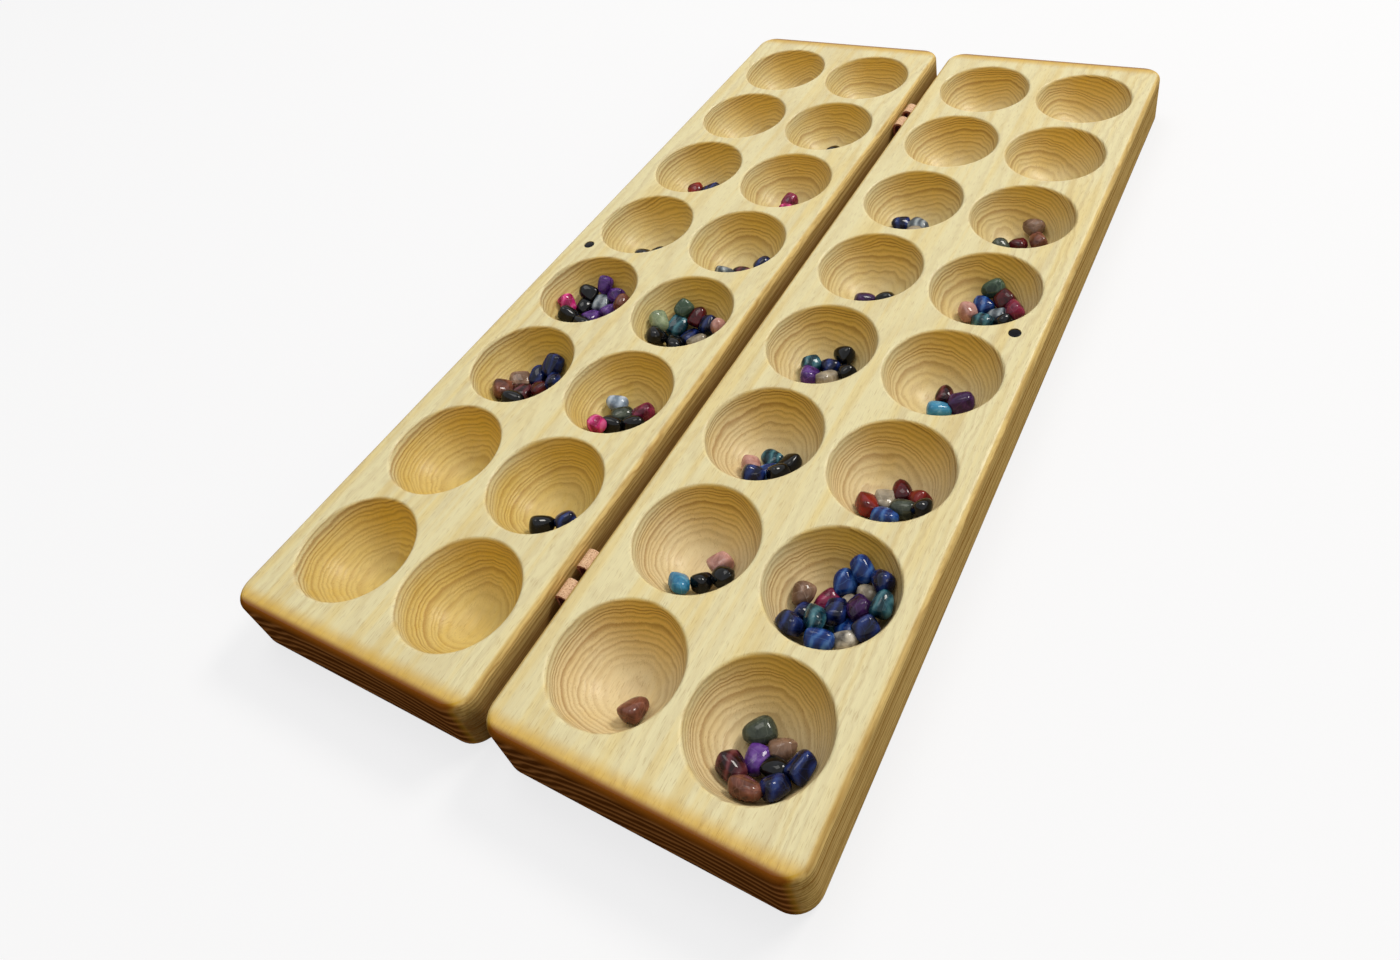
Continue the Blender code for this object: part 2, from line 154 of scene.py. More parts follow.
def turnProfile(name, points, steps):
    # one corner of a plane, drawn out along the profile of (radius, height) points and spun about Z
    deselectAll()
    bpy.ops.mesh.primitive_plane_add(size=0.001, location=(0, 0, 0))
    obj = bpy.context.object
    obj.name = name
    bpy.ops.object.mode_set(mode="EDIT")
    bpy.ops.mesh.select_mode(type="VERT")
    bpy.ops.mesh.select_all(action="SELECT")
    bpy.ops.mesh.merge(type="CENTER")
    corners = [Vector((radius, 0, height)) for radius, height in points]
    bpy.ops.transform.translate(value=corners[0])
    for here, there in zip(corners, corners[1:]):
        bpy.ops.mesh.extrude_vertices_move(TRANSFORM_OT_translate={"value": there - here})
    bpy.ops.mesh.select_all(action="SELECT")
    bpy.ops.mesh.spin(steps=steps, angle=2 * math.pi, center=(0, 0, 0), axis=(0, 0, 1))
    bpy.ops.mesh.select_all(action="SELECT")
    bpy.ops.mesh.remove_doubles(threshold=0.000004)
    bpy.ops.mesh.normals_make_consistent(inside=False)
    bpy.ops.object.mode_set(mode="OBJECT")
    return obj


def arcPoints(centre, radius, start, end, steps):
    angles = [start + (end - start) * i / steps for i in range(steps + 1)]
    return [(centre[0] + radius * math.cos(a), centre[1] + radius * math.sin(a)) for a in angles]


def copyPiece(source, name):
    # a copy with its own mesh
    piece = source.copy()
    piece.data = source.data.copy()
    piece.name = name
    bpy.context.scene.collection.objects.link(piece)
    return piece


def dropPiece(obj):
    bpy.data.objects.remove(obj, do_unlink=True)


def cutAway(obj, cutter):
    # takes the cutter's shape out of the object, and drops the cutter
    cut = obj.modifiers.new("cut", "BOOLEAN")
    cut.operation = "DIFFERENCE"
    cut.solver = "EXACT"
    cut.object = cutter
    applyModifiers(obj)
    dropPiece(cutter)


# camera, floor and light
view = {
    "location": (0.23968, -0.35728, 0.38362),
    "turn": (46.815, 9.896, 28.413),  # degrees
    "lens": 25.2503,
    "sensor": 36.0,
    "shift": (-0.02909, -0.09063),
}

cameraData = bpy.data.cameras.new("camera")
cameraData.sensor_width = view["sensor"]
cameraData.lens = view["lens"]
cameraData.shift_x = view["shift"][0]
cameraData.shift_y = view["shift"][1]
cameraData.clip_start = 0.01
camera = bpy.data.objects.new("camera", cameraData)
camera.location = view["location"]
camera.rotation_euler = Euler([math.radians(a) for a in view["turn"]])
bpy.context.scene.collection.objects.link(camera)
bpy.context.scene.camera = camera
bpy.context.scene.view_settings.view_transform = "Standard"

studio = {
    "floorSize": 14.0,
    "floorDrop": 0.0002,  # under the board, so that the two faces don't fight
    "floorColour": "#F8F8F9",
    "bounceColour": "#6E655A",  # what the floor sends back onto the object
    "floorGlow": 0.8,  # share of the floor's white that doesn't wait for the lamps
    "fillColour": "#F4F4F2",
    "fillAbove": 0.55,
    "fillLevel": 0.12,  # from the sides, at table height
    "fillRise": (0.1, 0.8),  # from one to the other, as the sine of the height over the table
    "softboxes": [
        # place, size, watts, colour
        ((1.2, 2.2, 2.7), (1.25, 0.95), 82.0, "#FFFAF2"),
        ((-0.8, 0.6, 2.8), (1.4, 1.4), 20.0, "#FFFDF8"),
        ((2.3, -0.5, 0.9), (1.0, 1.0), 9.0, "#FFF4DC"),
    ],
}


def whereSeen(tree):
    # 1 where the surface is looked at, in a mirror or through glass too, and 0 where it only sends light
    path = addNode(tree, "LightPath")
    rays = path.outputs["Is Camera Ray"], path.outputs["Is Glossy Ray"]
    either = addNode(tree, "Math", rays, operation="MAXIMUM")
    return addNode(tree, "Math", (either, path.outputs["Is Transmission Ray"]), operation="MAXIMUM")


def makeFloor():
    deselectAll()
    bpy.ops.mesh.primitive_plane_add(size=studio["floorSize"], location=(0, 0, -studio["floorDrop"]))
    floor = bpy.context.object
    floor.name = "studioFloor"
    material = bpy.data.materials.new("pale studio floor")
    material.use_nodes = True
    tree = material.node_tree
    tree.nodes.clear()
    seen = whereSeen(tree)
    colour = addNode(tree, "Mix", {0: seen, 6: studio["bounceColour"], 7: studio["floorColour"]},
                     data_type="RGBA")
    diffuse = addNode(tree, "BsdfDiffuse", {"Color": colour.outputs[2]})
    glow = addNode(tree, "Emission", {"Color": studio["floorColour"]})
    share = addNode(tree, "Math", (seen, studio["floorGlow"]), operation="MULTIPLY")
    addNode(tree, "OutputMaterial", {"Surface": addNode(tree, "MixShader", (share, diffuse, glow))})
    floor.data.materials.append(material)


def makeWorld():
    world = bpy.data.worlds.new("studio")
    bpy.context.scene.world = world
    world.use_nodes = True
    tree = world.node_tree
    tree.nodes.clear()
    seen = whereSeen(tree)
    # the room is bright overhead and dim towards the table
    direction = addNode(tree, "TexCoord")
    height = addNode(tree, "SeparateXYZ", {"Vector": direction.outputs["Generated"]})
    low, high = studio["fillRise"]
    level = addNode(tree, "MapRange", {"Value": height.outputs["Z"], "From Min": low, "From Max": high,
                                       "To Min": studio["fillLevel"], "To Max": studio["fillAbove"]},
                    interpolation_type="SMOOTHSTEP")
    fill = addNode(tree, "Background", {"Color": studio["fillColour"], "Strength": level})
    backdrop = addNode(tree, "Background", {"Color": studio["floorColour"]})
    addNode(tree, "OutputWorld", {"Surface": addNode(tree, "MixShader", (seen, fill, backdrop))})


def makeSoftboxes():
    for index, (place, size, watts, colour) in enumerate(studio["softboxes"]):
        data = bpy.data.lights.new(f"softbox{index + 1}", "AREA")
        data.shape = "RECTANGLE"
        data.size, data.size_y = size
        data.energy = watts
        data.color = hexColour(colour)[:3]
        lamp = bpy.data.objects.new(f"softbox{index + 1}", data)
        lamp.location = place
        lamp.rotation_euler = (-Vector(place)).to_track_quat("-Z", "Y").to_euler()
        bpy.context.scene.collection.objects.link(lamp)


makeFloor()
makeWorld()
makeSoftboxes()
print("studio ready")


# the wood, with its finish
ash = {
    "topColour": "#DCD2A6",  # long grain, pale straw
    "warmColour": "#D9BF74",  # slow amber drift along the plank
    "bowlShadeColour": {"left": "#CBB678", "right": "#D2BC82"},  # painted shade below the face, inside the bowls
    "bowlNearShadeColour": {"left": "#C8A53C", "right": "#D8BE8E"},  # the same painted shade, yellower towards the near end
    "endGrainAndShadeColour": "#EBB834",  # where the fibres are cut across and drink more of the varnish, and painted shade on the far walls of the bowls
    "edgeFinishAndShadeColour": "#CDA22C",  # the rounded edges, where the varnish runs thick, with painted shade where they turn from the light
    "buttEarlyAndShadeColour": "#B97B44",  # early wood on the sawn ends; this and the late wood are darker end grain with painted shade, as the ends face away from the lamps
    "buttLateAndShadeColour": "#63350F",
    "buttRimShadeColour": "#7A4512",  # painted shade on the rounded rim of an end
    "flankFinishAndShadeColour": "#DCBF7C",  # the long faces: more finish, and painted shade as they turn from the light
    "gapShadeColour": "#7C4A20",  # painted shade deep down on the faces beside the hinge
    "stainColour": "#8F6C2A",
    "lateColour": "#8C5A10",  # late wood, the dark line of each year
    # how much of each layer, finish or painted shade, covers the one below it
    "share": {"warm": 0.5, "bowl": 0.66, "nearEndShare": 0.85, "sideEdgeFinishAndShade": 0.4, "edge": 0.9, "flank": 0.85,
              "stain": 0.5, "gap": 0.6, "pores": 0.22},
    "heart": {"left": (22.0, -260.0), "right": (-30.0, -230.0)},  # mm, from the plank's middle and top
    "ringSpacing": 2.1,  # mm
    # what makes a growth layer wander: lump size in mm, detail, place in the noise, and reach in mm
    "wander": [((60, 240, 60), 2.0, 0.0, 20.0), ((16, 60, 16), 2.0, 7.3, 3.5), ((6, 9, 8), 1.0, 4.4, 1.8)],
    "yearChange": 1.6,  # how far the years swell and shrink
    "teeth": (0.35, 3.5, 0.6),  # mm, the ends of the vessels along a year's line
    "teethReach": 0.35,  # of a year
    # how dark a year gets from its first wood to its last
    "year": [(0.0, 0.3), (0.12, 0.0), (0.38, 0.05), (0.66, 0.7), (0.84, 1.0), (1.0, 0.3)],
    "yearStrength": (0.17, 0.50),  # of the line along the layers, and what cutting across them adds
    "yearTone": (0.6, 0.7),  # strength of the faintest year, and what the strongest one adds
    "buttHeart": {"left": (14.0, -200.0), "right": (34.0, -180.0)},  # where the years on an end centre
    "buttSpacing": 5.2,  # mm, where two of the narrowest years run together
    "buttWave": ((40, 400, 16), 1.8),  # mm, and reach in years
    "buttYear": [(0.0, 1.0), (0.16, 0.5), (0.40, 0.0), (0.72, 0.1), (1.0, 1.0)],
    # mm from the end or the long side, over which each finish or painted shade sets in
    "endBlend": (13.5, 11),
    "sideBlend": (6, 4),
    "buttShadeBlend": (5.6, 2.2),
    "nearEndBlend": (12, 5),
    "bowlShadeDepth": (0.4, 9.0),  # mm below the face, over which the bowls' painted shade sets in
    "gapBlend": (5.0, 15.0),  # mm below the face, over which the painted shade on the hinge faces sets in
    "bowlNearTint": (-40.0, 150.0),  # mm towards the near end
    "wallSoakAndShade": (-0.85, 0.2),  # end-grain finish and painted shade on the far and the near wall of a bowl, times their normal
    "fibre": (0.5, 22, 0.5),  # mm
    "fibreTone": 0.22,
    "fibreGloss": 0.14,
    "streak": (8, 150, 8),  # mm
    "stain": (3, 70, 2.2),  # mm
    "pore": (0.45, 6.0, 0.45),  # mm
    # how far late wood and fibres stand up and pores go down, how much flatter a sawn end is, and metres
    "relief": {"late": 0.8, "fibre": 0.4, "pores": 0.5, "butt": 0.85, "depth": 0.00015},
    "roughness": 0.36,
    "specular": {"face": 0.3, "edge": 0.0},  # sanded and varnished face, and edges that soak the varnish up
}


def makeAsh(name, side, specular):
    # Flat-sawn European ash, sanded and varnished: nearly level growth layers, which show as wandering
    # streaks on the top, as contour lines in the pits and as waves on the ends, and open pores as short
    # dashes along the grain.
    material, tree, shader = newMaterial(name, Roughness=ash["roughness"], IOR=1.45,
                                         Specular_IOR_Level=specular)
    place = addNode(tree, "TexCoord")
    low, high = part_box(side + "_board")
    middle = (low.x + high.x) / 2
    # millimetres, from the plank's middle and top
    inMm = addNode(tree, "Mapping", {"Vector": place.outputs["Object"]}, vector_type="POINT",
                   Scale=(1000, 1000, 1000), Location=(-middle * 1000, 0, -high.z * 1000))
    section = addNode(tree, "Mapping", {"Vector": inMm}, Scale=(1, 0, 1))
    spot = addNode(tree, "SeparateXYZ", {"Vector": inMm})
    facing = addNode(tree, "SeparateXYZ", {"Vector": place.outputs["Normal"]})
    share = ash["share"]

    def grain(lumps, detail, roughness, shift):
        # noise from 0 to 1, whose lumps are so many mm along each axis
        mapped = addNode(tree, "Mapping", {"Vector": inMm}, Scale=tuple(1 / s for s in lumps),
                         Location=(shift, shift, shift))
        return addNode(tree, "TexNoise", {"Vector": mapped}, Scale=1.0, Detail=detail, Roughness=roughness)

    def sway(value, noise, reach):
        # moves a value down and up by half the reach, as the noise goes from 0 to 1
        centred = addNode(tree, "Math", (noise, 0.5), operation="SUBTRACT")
        return addNode(tree, "Math", (centred, reach, value), operation="MULTIPLY_ADD")

    def fromHeart(heart):
        # distance from a point of the plank's cross section, in mm
        apart = addNode(tree, "VectorMath", (section, (heart[0], 0, heart[1])), operation="DISTANCE")
        return apart.outputs["Value"]

    def throughYear(years, stops):
        # the tone at each part of a year
        part = addNode(tree, "Math", (years,), operation="FRACT")
        return setRamp(addNode(tree, "ValToRGB", (part,)), stops)

    def eitherWay(vector):
        # how far a vector reaches across the plank and along it, to whichever side
        reached = addNode(tree, "VectorMath", (vector,), operation="ABSOLUTE")
        split = addNode(tree, "SeparateXYZ", (reached,))
        return split.outputs["X"], split.outputs["Y"]

    def setsIn(value, start, end):
        # 0 before start and 1 after end, as a finish sets in
        return addNode(tree, "MapRange", {"Value": value, "From Min": start, "From Max": end},
                       interpolation_type="SMOOTHSTEP")

    def towards(distance, limit, margins):
        # sets in between two margins, in mm from the limit
        return setsIn(distance, limit - margins[0], limit - margins[1])

    def below(depths):
        # sets in between two depths, in mm under the playing face
        return setsIn(spot.outputs["Z"], -depths[0], -depths[1])

    def together(first, *others):
        # several shares as one
        for other in others:
            first = addNode(tree, "Math", (first, other), operation="MULTIPLY")
        return first

    def layOn(tone, colour, *shares):
        # covers the tone with a colour, by all the shares together
        return addNode(tree, "Mix", {0: together(*shares), 6: tone, 7: colour}, data_type="RGBA").outputs[2]

    # distance from the heart of the tree, with a slow wander, a ripple and the scallops of each year's line
    radius = fromHeart(ash["heart"][side])
    for lumps, detail, shift, wanderReach in ash["wander"]:
        radius = sway(radius, grain(lumps, detail, 0.5, shift), wanderReach)
    # years of uneven width
    uneven = addNode(tree, "TexNoise", {"W": radius}, noise_dimensions="1D", Scale=0.15, Detail=1.0)
    years = addNode(tree, "Math", (radius, ash["ringSpacing"]), operation="DIVIDE")
    years = addNode(tree, "Math", (uneven, ash["yearChange"], years), operation="MULTIPLY_ADD")
    # fine saw-tooth wander, where the line breaks up into the ends of the vessels
    years = sway(years, grain(ash["teeth"], 2.0, 0.6, 5.7), ash["teethReach"])
    lateWood = throughYear(years, ash["year"])
    yearNumber = addNode(tree, "Math", (years,), operation="FLOOR")
    yearTone = addNode(tree, "TexWhiteNoise", {"W": yearNumber}, noise_dimensions="1D")
    buttRadius = fromHeart(ash["buttHeart"][side])
    buttYears = addNode(tree, "Math", (buttRadius, ash["buttSpacing"]), operation="DIVIDE")
    waveLumps, waveReach = ash["buttWave"]
    buttYears = sway(buttYears, grain(waveLumps, 2.0, 0.5, 2.2), waveReach)

    # the sawn ends and the long faces take more finish than the sanded top and bowls, and carry painted
    # shade; past the edge, the end's dark colour is carried onto the rounded rim as painted shade
    sideOn, endOn = eitherWay(place.outputs["Normal"])
    sideways, lengthwise = eitherWay(inMm)
    halfLength = high.y * 1000
    halfWidth = (high.x - low.x) * 500
    nearEnd = towards(lengthwise, halfLength, ash["endBlend"])
    nearSide = towards(sideways, halfWidth, ash["sideBlend"])
    # painted shade: the sawn end's colour reaches over the rounded rim onto the edge of the top
    pastEdgeShade = towards(lengthwise, halfLength, ash["buttShadeBlend"])
    butt = addNode(tree, "Math", (pastEdgeShade, together(nearEnd, setsIn(endOn, 0.4, 0.6))), operation="MAXIMUM")
    butt = together(butt, setsIn(sideOn, 0.86, 0.3))
    flank = together(nearSide, setsIn(sideOn, 0.3, 0.7))
    # the lines on an end are the year's pale early wood, thin and clear of the saw's marks
    earlyLine = throughYear(buttYears, ash["buttYear"])
    # the varnish runs thick on every rounded edge, and thickest before an end; this colour also paints the
    # shade on the edges as they turn from the light, darkest near each end
    endEdgeFinishAndShade = together(nearEnd, setsIn(endOn, 0.0, 0.35))
    sideEdgeFinishAndShade = together(nearSide, setsIn(sideOn, 0.05, 0.6), share["sideEdgeFinishAndShade"])
    nearEndFinishAndShade = together(towards(lengthwise, halfLength, ash["nearEndBlend"]), share["nearEndShare"])
    edge = addNode(tree, "Math", (endEdgeFinishAndShade, sideEdgeFinishAndShade), operation="MAXIMUM")
    edge = addNode(tree, "Math", (edge, nearEndFinishAndShade), operation="MAXIMUM")

    fibre = grain(ash["fibre"], 3.0, 0.6, 3.1)
    streak = setsIn(grain(ash["streak"], 2.0, 0.55, 11.0), 0.42, 0.70)
    stain = setsIn(grain(ash["stain"], 2.0, 0.6, 8.8), 0.44, 0.66)
    pores = setsIn(grain(ash["pore"], 1.0, 0.5, 19.0), 0.58, 0.70)

    tone = layOn(ash["topColour"], ash["warmColour"], streak, share["warm"])
    # painted shade inside the bowls: darker below the playing face, and yellower towards the near end
    bowlNearShare = setsIn(spot.outputs["Y"], -ash["bowlNearTint"][0], -ash["bowlNearTint"][1])
    bowl = layOn(ash["bowlShadeColour"][side], ash["bowlNearShadeColour"][side], bowlNearShare)
    tone = layOn(tone, bowl, below(ash["bowlShadeDepth"]), share["bowl"])
    # the walls of a bowl cut across the fibres and soak up more finish; the far wall, which faces away from
    # the lamps, also gets painted shade, and much more of this colour than the near wall
    walls = [together(facing.outputs["Y"], part) for part in ash["wallSoakAndShade"]]
    wallSoakAndShade = addNode(tree, "Math", walls, operation="MAXIMUM")
    tone = layOn(tone, ash["endGrainAndShadeColour"], setsIn(wallSoakAndShade, 0.1, 1.05))
    # varnish and painted shade on the rounded edges and near each end
    tone = layOn(tone, ash["edgeFinishAndShadeColour"], edge, share["edge"])
    # finish and painted shade on the long faces
    tone = layOn(tone, ash["flankFinishAndShadeColour"], flank, share["flank"])
    tone = layOn(tone, ash["stainColour"], flank, stain, share["stain"])
    hingeSide = 1 if side == "left" else -1
    hingeFace = setsIn(facing.outputs["X"], 0.3 * hingeSide, 0.7 * hingeSide)
    # painted shade deep in the gap beside the hinge
    tone = layOn(tone, ash["gapShadeColour"], flank, hingeFace, below(ash["gapBlend"]), share["gap"])
    # the sawn ends: end grain darkened with painted shade, and painted shade on the upward-turning rim
    sawn = layOn(ash["buttLateAndShadeColour"], ash["buttEarlyAndShadeColour"], earlyLine)
    sawn = layOn(sawn, ash["buttRimShadeColour"], setsIn(facing.outputs["Z"], 0.0, 0.7))
    tone = layOn(tone, sawn, butt)
    # the year's line is strong where the cut crosses the layers and faint where it runs along them
    level = together(facing.outputs["Z"], facing.outputs["Z"])
    upright = addNode(tree, "Math", (1.0, level), operation="SUBTRACT")
    alongLayers, acrossLayers = ash["yearStrength"]
    crossing = addNode(tree, "Math", (upright, acrossLayers, alongLayers), operation="MULTIPLY_ADD")
    faintest, change = ash["yearTone"]
    strength = addNode(tree, "Math", (yearTone, change, faintest), operation="MULTIPLY_ADD")
    unsawn = addNode(tree, "Math", (1.0, butt), operation="SUBTRACT")
    tone = layOn(tone, ash["lateColour"], lateWood, crossing, strength, unsawn)
    tone = addNode(tree, "Mix", {0: 1.0, 6: tone, 7: sway(1.0, fibre, ash["fibreTone"])},
                   data_type="RGBA", blend_type="MULTIPLY").outputs[2]
    tone = layOn(tone, ash["lateColour"], pores, share["pores"])
    tree.links.new(tone, shader.inputs["Base Color"])

    # late wood stands proud of the softer early wood after sanding, and pores stay open under the varnish
    relief = ash["relief"]
    height = together(lateWood, relief["late"])
    height = addNode(tree, "Math", (fibre, relief["fibre"], height), operation="MULTIPLY_ADD")
    height = addNode(tree, "Math", (pores, -relief["pores"], height), operation="MULTIPLY_ADD")
    flatter = addNode(tree, "Math", (butt, -relief["butt"], 1.0), operation="MULTIPLY_ADD")
    bump = addNode(tree, "Bump", {"Height": together(height, flatter)}, Strength=0.6,
                   Distance=relief["depth"])
    tree.links.new(bump.outputs[0], shader.inputs["Normal"])
    gloss = sway(ash["roughness"], fibre, ash["fibreGloss"])
    tree.links.new(gloss.outputs[0], shader.inputs["Roughness"])
    return material


plank = {
    "cornerRadius": 0.012,  # upright corners
    "edgeRadius": 0.0035,  # along the top and bottom
    "cornerSegments": 10,
    "edgeSegments": 8,
    "innerMargin": 0.039,  # pit centre to the face beside the hinge
    "pitch": 0.066,
    "rows": 8,
    "pitRadius": 0.0295,
    "pitDepth": 0.025,
    "pitRim": 0.0018,  # soft edge around each pit
    "pitSteps": 72,
    "bowlSteps": 18,
    "rimSteps": 6,
    "cutterLead": 0.0004,
    "cutterHeight": 0.002,  # over the playing face
    "faceAngle": 40,  # degrees, where shading breaks
    "flatWeight": 80,  # how far the flat faces pull the shading
    "faceMargin": 0.002,  # around a pit's rim, and still sanded and varnished
    "faceSlope": 0.9,  # least upward share of a face's normal for it to be sanded and varnished
}

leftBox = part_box("left_board")
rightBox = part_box("right_board")
topZ = leftBox[1].z
halfGap = rightBox[0].x


def pitCentre(pit):
    # columns a and b lie on the left plank, c and d on the right one; row 1 is the far end
    side = -1 if pit[0] in "ab" else 1
    outer = pit[0] in "ad"
    x = side * (halfGap + plank["innerMargin"] + (plank["pitch"] if outer else 0))
    y = ((plank["rows"] + 1) / 2 - int(pit[1])) * plank["pitch"]
    return Vector((x, y, topZ))


def bowlSphere():
    # radius of the bowl and the height of its centre over the playing face
    depth = plank["pitDepth"]
    radius = (plank["pitRadius"] ** 2 + depth ** 2) / (2 * depth)
    return radius, radius - depth


def makePitCutter():
    radius, centreHeight = bowlSphere()
    rim = plank["pitRim"]
    # a small arc leaves the playing face level and touches the bowl from outside, so that the two centres lie
    # radius + rim apart
    rimReach = math.sqrt((radius + rim) ** 2 - (centreHeight + rim) ** 2)
    meet = math.atan2(centreHeight + rim, -rimReach)
    rimArc = arcPoints((rimReach, -rim), rim, math.pi / 2, meet, plank["rimSteps"])
    start = math.atan2(rimArc[-1][1] - centreHeight, rimArc[-1][0])
    bowl = arcPoints((0, centreHeight), radius, start, -math.pi / 2, plank["bowlSteps"])[1:]
    bowl[-1] = (0, -plank["pitDepth"])
    # above the face the cutter stands a little wider than the rim, so that it meets the face at an angle
    wall = rimArc[0][0] + plank["cutterLead"]
    profile = [(0, plank["cutterHeight"]), (wall, plank["cutterHeight"]), (wall, 0.00001)] + rimArc[1:] + bowl
    return turnProfile("pitCutter", profile, plank["pitSteps"])


def makePlank(side, cutter):
    name = side + "_board"
    low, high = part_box(name)
    deselectAll()
    bpy.ops.mesh.primitive_cube_add(size=1, location=(low + high) / 2, scale=high - low)
    obj = bpy.context.object
    obj.name = side + "AshPlank"
    applyPlace(obj)
    selectEdges(obj, isUpright)
    bpy.ops.mesh.bevel(offset=plank["cornerRadius"], segments=plank["cornerSegments"], profile=0.5,
                       affect="EDGES")
    selectEdges(obj, isLevel)
    bpy.ops.mesh.bevel(offset=plank["edgeRadius"], segments=plank["edgeSegments"], profile=0.5,
                       affect="EDGES")
    # score between the pits, so that each face holds one of them
    for row in range(1, plank["rows"]):
        bpy.ops.mesh.select_all(action="SELECT")
        y = (plank["rows"] / 2 - row) * plank["pitch"]
        bpy.ops.mesh.bisect(plane_co=(0, y, 0), plane_no=(0, 1, 0))
    columns = "ab" if side == "left" else "cd"
    bpy.ops.mesh.select_all(action="SELECT")
    middle = (pitCentre(columns[0] + "1").x + pitCentre(columns[1] + "1").x) / 2
    bpy.ops.mesh.bisect(plane_co=(middle, 0, 0), plane_no=(1, 0, 0))
    bpy.ops.object.mode_set(mode="OBJECT")
    cutters = []
    for column in columns:
        for row in range(1, plank["rows"] + 1):
            hollow = copyPiece(cutter, f"hollow_{column}{row}")
            hollow.location = pitCentre(f"{column}{row}")
            cutters.append(hollow)
    deselectAll()
    for hollow in cutters:
        hollow.select_set(True)
    bpy.context.view_layer.objects.active = cutters[0]
    bpy.ops.object.join()
    hollows = bpy.context.object
    applyPlace(hollows)
    cutAway(obj, hollows)
    cutAway(obj, makeMagnetBore(side))
    smoothByAngle(obj, plank["faceAngle"])
    weighted = obj.modifiers.new("flatTop", "WEIGHTED_NORMAL")
    weighted.keep_sharp = True
    weighted.weight = plank["flatWeight"]
    applyModifiers(obj)
    obj.data.materials.clear()
    obj.data.materials.append(makeAsh(side + " flat-sawn ash, varnished", side, ash["specular"]["face"]))
    obj.data.materials.append(makeAsh(side + " ash edges, oiled", side, ash["specular"]["edge"]))
    hollowReach = plank["pitRadius"] + plank["pitRim"] + plank["faceMargin"]
    for face in obj.data.polygons:
        inPit = min((face.center - pitCentre(f"{column}{row}")).xy.length for column in columns
                    for row in range(1, plank["rows"] + 1)) < hollowReach
        if not inPit and abs(face.normal.z) < plank["faceSlope"]:
            face.material_index = 1
    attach(obj, name)
    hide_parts(name)


magnet = {
    "radius": 0.003,
    "gap": 0.0003,
    "steps": 40,
    "bevel": 0.00025,
    "bevelSteps": 3,
    "faceAngle": 35,
    "colour": "#15151A",
    "marks": (0.14, 0.38),  # roughness between and on the handling marks
    "marksScale": 900.0,
}


def makeMagnetBore(side):
    low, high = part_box(side + "_magnet")
    deselectAll()
    bpy.ops.mesh.primitive_cylinder_add(vertices=magnet["steps"], radius=magnet["radius"] + magnet["gap"],
                                        depth=2 * (topZ - low.z + magnet["gap"]),
                                        location=((low.x + high.x) / 2, (low.y + high.y) / 2, topZ))
    bore = bpy.context.object
    applyPlace(bore)
    return bore


def makeMagnet(side):
    low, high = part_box(side + "_magnet")
    deselectAll()
    bpy.ops.mesh.primitive_cylinder_add(vertices=magnet["steps"], radius=magnet["radius"],
                                        depth=high.z - low.z, location=(low + high) / 2)
    obj = bpy.context.object
    obj.name = side + "NickelMagnet"
    applyPlace(obj)
    selectEdges(obj, isLevel)
    bpy.ops.mesh.bevel(offset=magnet["bevel"], segments=magnet["bevelSteps"], profile=0.5, affect="EDGES")
    bpy.ops.object.mode_set(mode="OBJECT")
    smoothByAngle(obj, magnet["faceAngle"])
    # Neodymium magnet, black nickel plating: a dark mirror with faint handling marks.
    material, tree, shader = newMaterial("black nickel plating", Metallic=0.9,
                                         Base_Color=hexColour(magnet["colour"]))
    place = addNode(tree, "TexCoord")
    marks = addNode(tree, "TexNoise", {"Vector": place.outputs["Object"]},
                    Scale=magnet["marksScale"], Detail=3.0)
    clean, marked = magnet["marks"]
    rough = addNode(tree, "MapRange",
                    {"Value": marks, "To Min": clean, "To Max": marked})
    tree.links.new(rough.outputs[0], shader.inputs["Roughness"])
    obj.data.materials.append(material)
    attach(obj, side + "_board")
    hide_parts(side + "_magnet")


pitCutter = makePitCutter()
for side in ("left", "right"):
    makePlank(side, pitCutter)
    makeMagnet(side)
dropPiece(pitCutter)
print("planks and magnets ready")


# the hinges: leather bands, held by brass tacks
band = {
    "width": 0.0101,
    "creep": 0.0006,  # the straps have worked this far towards the near end
    "thickness": 0.0017,
    "crownDrop": 0.0038,
    "archRise": 0.0031,  # the arch is squashed a little by the legs' pull
    "leg": 0.023,  # lowest edge, below the playing face
    "clearance": 0.0004,
    "arcSteps": 32,  # around the full tube
    "legSteps": 8,
    "cuts": (-0.3, -0.1, 0.1, 0.3),  # across the width, in widths from its middle
    "wornEdge": 0.0003,
    "wornAngle": 60,  # degrees, what counts as an edge
    "faceAngle": 50,  # degrees, where shading breaks
    "tones": (0.36, 0.50, 0.72),  # where the three colours sit in the specks
    "poreScale": 1.6,  # of the specks' scale
    "relief": 0.0002,
    # outside, inside and rim: colours from the specks to the palest part, scale of the specks, roughness
    "sides": {
        "grain side": (("#94603E", "#DDB48E", "#EBCBA8"), 1900.0, 0.62),
        "flesh side": (("#4C120C", "#74241A", "#A84A34"), 900.0, 0.9),
        "cut edge": (("#8A5238", "#A8583C", "#DDB08E"), 1500.0, 0.8),
    },
}


def makeLeather(name, colours, scale, roughness):
    # Vegetable-tanned cowhide: pores and scuffs in a pale grain side, or the loose dark fibres of the flesh
    # side.
    material, tree, shader = newMaterial(name, Roughness=roughness, IOR=1.45)
    place = addNode(tree, "TexCoord")
    specks = addNode(tree, "TexNoise", {"Vector": place.outputs["Object"]}, Scale=scale, Detail=4.0,
                     Roughness=0.7)
    tone = setRamp(addNode(tree, "ValToRGB", (specks,)),
                   zip(band["tones"], colours))
    tree.links.new(tone.outputs[0], shader.inputs["Base Color"])
    pores = addNode(tree, "TexVoronoi", {"Vector": place.outputs["Object"]},
                    Scale=scale * band["poreScale"])
    bump = addNode(tree, "Bump", {"Height": pores}, Strength=0.5,
                   Distance=band["relief"])
    tree.links.new(bump.outputs[0], shader.inputs["Normal"])
    return material


